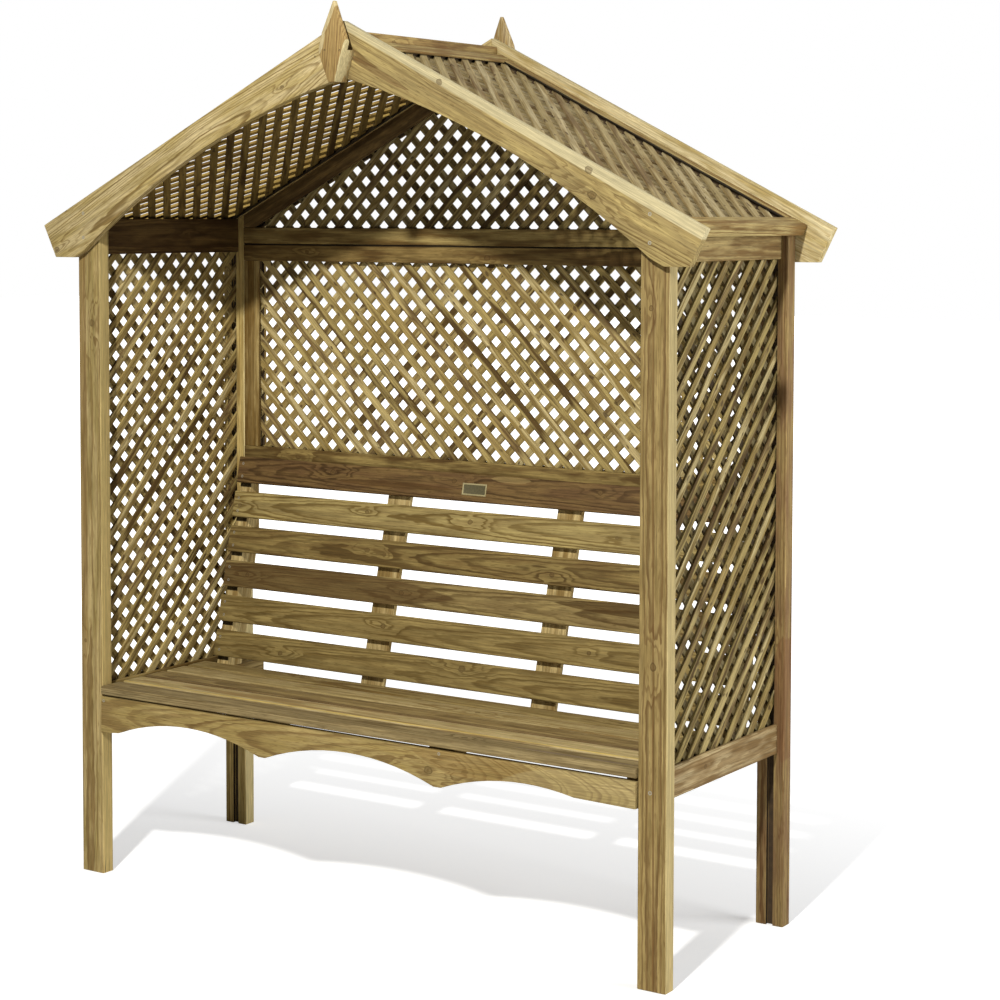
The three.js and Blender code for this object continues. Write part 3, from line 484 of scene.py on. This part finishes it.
def battens(name, centre, along, up, face_rises, tones, under, over, shifts=(0, 0)):
    """Treated pine battens, told apart by their count across the panel and by their layer.
    The panel's own axes are in millimetres: a along it, b up it and n out of its face.
    face_rises says whether the face layer's battens rise along a, where the rear layer's
    fall. under and over scale how bright the rear and the face layer are painted: painted
    light and shade, darker where a layer lies in shade. shifts say by what share of their
    pitch the face and the rear battens stand off the panel's middle."""
    material = bpy.data.materials.new(name)
    material.use_nodes = True
    tree = material.node_tree
    along, up = Vector(along).normalized(), Vector(up).normalized()
    turn = (Matrix.Rotation(math.radians(-45), 3, 'Z')
            @ Matrix((along, up, along.cross(up))))
    panel = add(tree, 'Mapping', {
        'Vector': tree.nodes.new('ShaderNodeTexCoord').outputs['Object'],
        'Location': turn @ Vector(centre) * -millimetres,
        'Rotation': turn.to_euler(), 'Scale': [millimetres] * 3})
    # Turned by 45 degrees, x runs with the battens that rise and y with those that fall
    parts = tree.nodes.new('ShaderNodeSeparateXYZ')
    tree.links.new(panel, parts.inputs[0])
    rising, falling, normal = parts.outputs
    on_face = add(tree, 'Math', {0: normal, 1: 0.0}, operation='GREATER_THAN')
    # Each layer's position across its battens, and along them
    face, rear = (falling, rising), (rising, falling)
    if not face_rises:
        face, rear = rear, face
    across = add(tree, 'Mix', {0: on_face, 2: rear[0], 3: face[0]})
    length = add(tree, 'Mix', {0: on_face, 2: rear[1], 3: face[1]})
    shift = add(tree, 'Mix', {0: on_face, 2: 0.5 - shifts[1], 3: 0.5 - shifts[0]})
    count = add(tree, 'Math', {0: across, 1: 1 / batten_pitch, 2: shift},
                operation='MULTIPLY_ADD')
    count = add(tree, 'Math', {0: count}, operation='FLOOR')
    number = add(tree, 'Math', {0: on_face, 1: layer_step, 2: count},
                 operation='MULTIPLY_ADD')
    own = add(tree, 'TexWhiteNoise', {'W': number}, noise_dimensions='1D')
    # Each batten takes its grain from its own place in the noise
    strip = add(tree, 'CombineXYZ', {0: length, 1: across, 2: normal})
    spot = add(tree, 'Math', {0: own, 1: noise_reach}, operation='MULTIPLY')
    spot = add(tree, 'CombineXYZ', {0: spot, 1: spot, 2: spot})

    def grain(scale, **settings):
        """Noise drawn out to a scale in millimetres."""
        at = add(tree, 'VectorMath', {0: strip, 1: [1 / mm for mm in scale], 2: spot},
                 operation='MULTIPLY_ADD')
        return add(tree, 'TexNoise', {'Vector': at, 'Scale': 1, **settings})

    fibre = grain((90, 2.6, 2.6), Detail=2, Roughness=0.6)
    slow = add(tree, 'MapRange', {'Value': grain((150, 14, 14), Detail=1), 'From Min': 0.3,
                                  'From Max': 0.7, 'To Min': -0.16, 'To Max': 0.16})
    tone = add(tree, 'Math', {0: own, 1: slow}, operation='ADD')
    ramp = tree.nodes.new('ShaderNodeValToRGB')
    stops = ramp.color_ramp.elements
    stops[0].color, stops[1].color = linear(tones[0]), linear(tones[-1])
    for i, code in enumerate(tones[1:-1]):
        stops.new((i + 1) / (len(tones) - 1)).color = linear(code)
    tree.links.new(tone, ramp.inputs[0])
    # A small knot every half metre or so of batten
    blot = add(tree, 'MapRange', {'Value': grain((26, 13, 13), Detail=0),
                                  'From Min': 0.735, 'From Max': 0.80, 'To Max': 0.75})
    colour = add(tree, 'Mix', {0: blot, 6: ramp.outputs[0], 7: linear(batten_knot)},
                 out=2, data_type='RGBA')
    shade = add(tree, 'MapRange', {'Value': fibre, 'From Min': 0.28, 'From Max': 0.72,
                                   'To Min': 0.66, 'To Max': 1.26})
    # Painted shade: each layer is painted darker or lighter by the light that reaches it
    painted_layer_shade = add(tree, 'MapRange', {'Value': on_face, 'To Min': under, 'To Max': over})
    shade = add(tree, 'Math', {0: shade, 1: painted_layer_shade}, operation='MULTIPLY')
    colour = add(tree, 'VectorMath', {0: colour, 'Scale': shade}, operation='SCALE')
    weathered(tree, colour, fibre, fibre, rough=(0.68, 0.88))
    return material


def dress(node, material):
    """Gives a trellis, which is shown as it is, its material."""
    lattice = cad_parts[node]
    lattice.data.materials.clear()
    lattice.data.materials.append(material)


wall_tones = ('#584422', '#AE9A60', '#7C6638', '#C6B480', '#88723E', '#A8925A', '#665030',
              '#B8A46C')
# under and over paint each panel's layers darker or lighter: painted shade, deepest on the
# right side and the gable, which lie in shade.
panels = {
    'left_side_trellis': (Y, Z, True, dict(under=0.9, over=1.06)),
    'right_side_trellis': (Y, Z, True, dict(under=0.3, over=0.74)),
    'back_panel_trellis': (X, Z, False, dict(under=0.92, over=1.05)),
    'gable_trellis': (X, Z, True, dict(under=0.52, over=0.72, shifts=(0.09, -0.04))),
}
for node, (along, up, face_rises, looks) in panels.items():
    centre = middle(node)
    if node == 'gable_trellis':
        # Its battens are set out from the middle of the lower corners' reach
        centre.z = 1.6156
    dress(node, battens('treated_battens_' + node, centre, along, up, face_rises,
                        wall_tones, **looks))


# Roof panels and ridge board
# Four grooved rails of 27 mm pine round a trellis, laid on the walls and meeting at an
# upright ridge board. The lower layer of battens is painted darker than the upper one, as
# painted shade.
# Near black: painted shade seen down the roof's deep groove
painted_groove_shadow = '#0E0A05'
roofs = {
    'left': (down_left, True, ('#6C5224', '#B29650', '#866A32', '#BE9F58', '#94783A',
                               '#A68A48'), dict(under=0.42, over=0.86, shifts=(-0.3, -0.18))),
    'right': (down_right, False, ('#7A6440', '#B5A274', '#8E784C', '#BFAE84', '#9A8658',
                                  '#A8966A'), dict(under=0.62, over=0.84,
                                                   shifts=(-0.03, -0.3))),
}
for side, (along, face_rises, tones, looks) in roofs.items():
    node = f'roof_{side}_trellis'
    dress(node, battens('treated_battens_' + node, middle(node), along, Y, face_rises,
                        tones, **looks))
    for i, (part, grain, width) in enumerate((
            ('front_rail', along, Y), ('rear_rail', along, Y),
            ('ridge_rail', Y, along), ('eaves_rail', Y, along))):
        node = f'roof_{side}_{part}'
        low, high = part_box(node)
        # The rear rail's inner edge is painted near black: painted shade of the deep groove
        # below it
        edge = (low[1] - high[1]) / 2 * millimetres
        painted_rail_shade = ((0, edge, whole, 1.5, 0.0, painted_groove_shadow, 0.95),)
        wood = pine('planed_pine_' + node, '#AD9A66', '#745A32', middle(node), grain, width,
                    zones=painted_rail_shade if part == 'rear_rail' else (), pith=(5, -28),
                    lean=(0.004, 0.01),
                    seed=3.1 * i + (0 if side == 'left' else 20))
        planed(node, wood, grooved=(width, grain.cross(width)))
wood = pine('planed_pine_ridge_board', '#A8905A', '#6E5230', middle('ridge_board'), Y, Z,
            pith=(4, -26), lean=(0.003, 0.006), seed=31.0, knots=((-140, 4, 6),))
planed('ridge_board', wood)


# Bargeboards
# Four wide boards of the best pine, bandsawn to a long hollow below and planed, screwed
# over the roof's ends. The front right one is painted paler in a band along its top.
boards = {
    'front_left_bargeboard': (down_left, up_left, '#C4B182', '#776034', dict(
        pith=(-34, -24), lean=(0.035, 0.028), ring=6, seed=11.0, contrast=1.0,
        climb=(50, 0.1), knots=((-493, -39, 7), (-423, 37, 5), (319, -17, 5)))),
    'front_right_bargeboard': (down_right, up_right, '#988557', '#604826', dict(
        pith=(-12, -26), lean=(0.012, -0.03), ring=6.5, seed=14.0, contrast=0.85,
        knots=((229, -24, 9), (198, 20, 8), (-235, 23, 7)),
        zones=((0, 55, whole, 40, -0.009, '#C4B890', 0.85),
               (-400, -28, 100, 8, 0.0, '#6A5030', 0.6)))),
    'rear_left_bargeboard': (down_left, up_left, '#BFAA76', '#80663A', dict(
        pith=(6, 34), lean=(0.01, 0.04), seed=17.0)),
    'rear_right_bargeboard': (down_right, up_right, '#CFC094', '#9A8254', dict(
        pith=(-8, 36), lean=(0.014, 0.05), seed=19.0, contrast=0.7)),
}
for node, (along, across, pale, dark, looks) in boards.items():
    wood = pine('planed_pine_' + node, pale, dark, middle(node), along, across,
                patch='#AC9862', **looks)
    planed(node, wood)


# Finials
# A kite of 36 mm pine over each ridge joint, bevelled all round its outer face and thinned
# to the tip behind. Two nails go through it below the shoulders.
# Painted light: the bevels and the lower right side are painted paler where light falls on
# them.
painted_lit_bevels = ((-48, 25.8, 60, 5, 0.306, '#C6B98C', 0.8),
               (56, -7.5, 46, 9, 0.45, '#D2C294', 0.7),
               (-2, -29.3, 28, 9, 0.26, '#D2C294', 0.7))
for node, pale, zones, seed in (('front_finial', '#A88D5A', painted_lit_bevels, 23.0),
                                ('rear_finial', '#CDBD94', (), 26.0)):
    wood = pine('planed_pine_' + node, pale, '#745630', middle(node), Z, X, pith=(-10, -20),
                lean=(0.10, 0.02), zones=zones, seed=seed, patch='#9C8250', contrast=0.7)
    planed(node, wood)


# Apron
# One board under the front slat, bandsawn along its lower edge into three shallow arches
# with a foot at each end, and screwed to the bearers.
wood = pine('planed_pine_seat_apron', '#AC9660', '#725830', middle('seat_apron'), X, Z,
            pith=(4, -62), lean=(0.0, 0.05), ring=6, climb=(300, 0.28), seed=33.0,
            patch='#A28C54', knots=((229, -2, 9),),
            zones=((380, 20, 200, 36, -0.1, '#866B3C', 0.5),
                   (680, 0, 260, 50, 0.0, '#B4A476', 0.35)))
apron = planed('seat_apron', wood)
# Its top edge isn't quite parallel to the front slat: the joint narrows to the left
rise_left, rise_right = 0.0048, 0.0014
top = max(vertex.co.z for vertex in apron.data.vertices)
for end, rise in ((-1, rise_left), (1, rise_right)):
    bpy.ops.object.select_all(action='DESELECT')
    apron.select_set(True)
    bpy.context.view_layer.objects.active = apron
    bpy.ops.object.mode_set(mode='EDIT')
    bpy.ops.mesh.select_mode(type='VERT')
    bpy.ops.mesh.select_all(action='DESELECT')
    bpy.ops.object.mode_set(mode='OBJECT')
    for vertex in apron.data.vertices:
        vertex.select = vertex.co.z > top - 0.002 and vertex.co.x * end > 0
    bpy.ops.object.mode_set(mode='EDIT')
    bpy.ops.transform.translate(value=(0, 0, rise))
    bpy.ops.object.mode_set(mode='OBJECT')


# Seat slats
# Five planed slats with eased arrises on two bearers and two flat battens, each from
# another stick, from grey brown at the front to olive at the back.
seat_slats = (  # pale and dark wood, patches, knots and zones
    ('#A08D62', '#645230', '#887650', ((300, 8, 6),),
     ((600, -8, 170, 6, 0.0, '#75665A', 0.5),)),
    # The second slat's yellow streak along its front arris is a painted highlight.
    ('#CCB886', '#967A4A', '#B6A26C', (), ((0, -31, whole, 2.4, 0.0, '#D2B65E', 0.7),)),
    # The third slat's dark band along its front edge is painted shade at the seam.
    ('#A28C5A', '#64502F', '#8A7448', (), ((0, -32, whole, 5, 0.0, '#5A452C', 0.6),)),
    ('#BCA876', '#866C3C', '#A28E5C', ((180, -6, 6),), ()),
    ('#A28E5C', '#6A5228', '#8C7848', ((-420, 4, 6), (520, 2, 6)), ()),
)
for i, (pale, dark, patch, knots, zones) in enumerate(seat_slats):
    node = f'seat_slat_{i + 1}'
    wood = pine('planed_pine_' + node, pale, dark, middle(node), X, Y,
                pith=(10 - 5 * i, -34), lean=(0.006, 0.02), seed=41.0 + 2.7 * i,
                patch=patch, knots=knots, zones=zones)
    planed(node, wood)
for i, node in enumerate(('seat_left_batten', 'seat_right_batten')):
    wood = pine('planed_pine_' + node, '#9C8752', '#665026', middle(node), Y, X,
                seed=57.0 + i)
    planed(node, wood)


# Back slats
# Six planed slats screwed to two battens and two end supports, leaning back by twelve
# degrees. The timber varies: the top and the fourth slat are the browner heartwood.
lean_back = math.radians(12.2)
up_back = Vector((0, math.sin(lean_back), math.cos(lean_back)))
out_back = Vector((0, -math.cos(lean_back), math.sin(lean_back)))
half_slat_width, half_slat_thickness = 34.5, 0.0105
painted_slat_shadow = '#1A1208'
back_slats = (  # pale and dark wood, patches, knots and zones
    ('#785F38', '#402D15', '#654C2E', ((-450, 12, 7), (-68, 14, 6), (357, 13, 6)),
     ((-250, -8, 190, 8, 0.0, '#4C3214', 0.5), (100, 27, 60, 8, 0.0, '#9C8654', 0.5))),
    ('#A8955E', '#6A552A', '#938050',
     ((-744, -3, 5), (-325, 9, 5), (-6, 7, 6), (417, 1, 4)), ()),
    ('#8E7A48', '#54401F', '#786238', ((-310, 5, 6), (-255, -3, 5), (249, -10, 6)), ()),
    ('#9A8654', '#523E1E', '#826E44', ((-689, 0, 5), (-188, -2, 6)),
     ((-480, -2, 460, 38, 0.0, '#553E20', 0.7), (570, 18, 310, 17, 0.0, '#46300F', 0.75))),
    ('#9A8652', '#624E26', '#826E40', ((-231, 3, 6), (376, 0, 5)), ()),
    ('#988450', '#624E26', '#826E40', ((-546, -6, 6), (22, 15, 8)), ()),
)
for i, (pale, dark, patch, knots, zones) in enumerate(back_slats):
    node = f'back_slat_{i + 1}'
    wood = pine('planed_pine_' + node, pale, dark, middle(node), X, up_back,
                pith=(8 - 4 * i, -32), lean=(0.008, 0.025), seed=61.0 + 3.3 * i,
                patch=patch, knots=knots, zones=zones)
    planed(node, wood)
for i, node in enumerate(('back_left_batten', 'back_right_batten', 'back_left_support',
                          'back_right_support')):
    # Each slat above throws a hard shadow on it, painted on its front face as a dark band
    edges = [(middle(f'back_slat_{j + 1}') - middle(node)).dot(up_back) * millimetres
             - half_slat_width for j in range(len(back_slats))]
    painted_shadows = [(edge - 4, 0, 6.5, 90, 0.0, painted_slat_shadow, 0.85) for edge in edges]
    wood = pine('planed_pine_' + node, '#CBB47C', '#8E7442', middle(node), up_back, X,
                seed=83.0 + i, contrast=0.5, skin=-9, zones=painted_shadows)
    planed(node, wood)


# Name plate
# A small pressed brass plate, left plain, pinned to the top slat just right of its
# middle. It has browned, and its raised border is worn bright.
def select_faces(piece, facing):
    """Opens a piece in edit mode with just the faces selected that look one way."""
    bpy.ops.object.mode_set(mode='EDIT')
    bpy.ops.mesh.select_mode(type='FACE')
    bpy.ops.mesh.select_all(action='DESELECT')
    bpy.ops.object.mode_set(mode='OBJECT')
    for face in piece.data.polygons:
        face.select = face.normal.dot(facing) > 0.9
    bpy.ops.object.mode_set(mode='EDIT')


plate_size = Vector((0.072, 0.0012, 0.030))
border_width, border_slope, field_depth = 0.0028, 0.0006, 0.0005
slat_front = middle('back_slat_1') + out_back * half_slat_thickness
bpy.ops.object.select_all(action='DESELECT')
bpy.ops.mesh.primitive_cube_add(size=1)
plate = bpy.context.object
plate.name = 'name_plate'
plate.scale = plate_size
plate.rotation_euler = (-lean_back, 0, 0)
plate.location = slat_front + X * -0.005 + up_back * -0.004 + out_back * plate_size.y / 2
bpy.ops.object.transform_apply(location=True, rotation=True, scale=True)
select_faces(plate, out_back)
bpy.ops.mesh.inset(thickness=border_width, depth=0)
bpy.ops.mesh.inset(thickness=border_slope, depth=-field_depth)
bpy.ops.object.mode_set(mode='OBJECT')
rounded(plate, 0.0003, limit=30, smooth=35)
plate.data.materials.append(mottled('worn_brass_border', '#8C8056', '#B8AC80', scale=260,
                                    detail=3, rough=(0.4, 0.65), metallic=0.35))
plate.data.materials.append(mottled('browned_brass_field', '#3A3420', '#6C6442', scale=260,
                                    detail=3, rough=(0.4, 0.65), metallic=0.35))
field_top = slat_front.dot(out_back) + plate_size.y - field_depth
for face in plate.data.polygons:
    sunk = face.center.dot(out_back) < field_top + 0.0002
    face.material_index = 1 if face.normal.dot(out_back) > 0.99 and sunk else 0
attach(plate, 'root')


# Screws and nails
# Zinc plated countersunk screws hold the slats, the boards and the apron, and small nails
# that have gone dark hold the finial. Each head has its recess, painted near black as
# painted shade, and sits all but flush.
zinc = mottled('zinc_plated_steel', '#8C8674', '#C4BEAE', scale=700, detail=2,
               rough=(0.3, 0.6), metallic=0.7)
# Near black: painted shade in the screws' recesses, and the nails' own darkened colour
recess_shade_and_dark_nail = mottled('shadowed_recess', '#0E0B06', '#2A2114', scale=900, detail=2, rough=0.9)

head_thickness, head_sunk, recess_depth = 0.0012, 0.0004, 0.0007
board_screw, apron_screw, post_screw, slat_screw, nail = 0.0042, 0.0038, 0.0045, 0.0036, 0.0022
board_face, apron_face, post_face, finial_face = -0.3148, -0.3015, -0.2945, -0.3510
# Place, the way it looks and radius of each head
heads = [('board_screw_1', Vector((0.802, board_face, 1.650)), -Y, board_screw),
         ('board_screw_2', Vector((0.802, board_face, 1.590)), -Y, board_screw),
         ('board_screw_3', Vector((-0.802, board_face, 1.650)), -Y, board_screw),
         ('board_screw_4', Vector((-0.802, board_face, 1.590)), -Y, board_screw),
         ('apron_screw_1', Vector((-0.758, apron_face, 0.4395)), -Y, apron_screw),
         ('apron_screw_2', Vector((0.259, apron_face, 0.4405)), -Y, apron_screw),
         ('post_screw', Vector((0.799, post_face, 0.4266)), -Y, post_screw),
         ('board_nail', Vector((-0.0783, board_face, 2.0075)), -Y, nail),
         ('finial_nail_1', Vector((-0.0222, finial_face, 2.018)), -Y, nail),
         ('finial_nail_2', Vector((0.0198, finial_face, 2.0159)), -Y, nail)]
for i in range(len(back_slats)):
    front = middle(f'back_slat_{i + 1}') + out_back * half_slat_thickness
    for j, (x, across) in enumerate(((-0.752, 0.016), (-0.750, -0.018),
                                     (0.752, 0.017), (0.750, -0.017))):
        heads.append((f'slat_screw_{i + 1}_{j + 1}', front + X * x + up_back * across,
                      out_back, slat_screw))
for name, spot, out, radius in heads:
    bpy.ops.object.select_all(action='DESELECT')
    bpy.ops.mesh.primitive_cylinder_add(vertices=20, radius=radius, depth=head_thickness,
                                        rotation=out.to_track_quat('Z', 'Y').to_euler())
    head = bpy.context.object
    head.name = name
    head.location = spot - out * head_sunk
    bpy.ops.object.transform_apply(location=True, rotation=True, scale=True)
    select_faces(head, out)
    is_nail = 'nail' in name
    bpy.ops.mesh.inset(thickness=radius * (0.4 if is_nail else 0.5), depth=0)
    bpy.ops.mesh.inset(thickness=radius * 0.04, depth=-recess_depth)
    bpy.ops.object.mode_set(mode='OBJECT')
    head.data.materials.append(recess_shade_and_dark_nail if is_nail else zinc)
    head.data.materials.append(recess_shade_and_dark_nail)
    for face in head.data.polygons:
        face.material_index = 1 if face.select else 0
    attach(head, 'root')
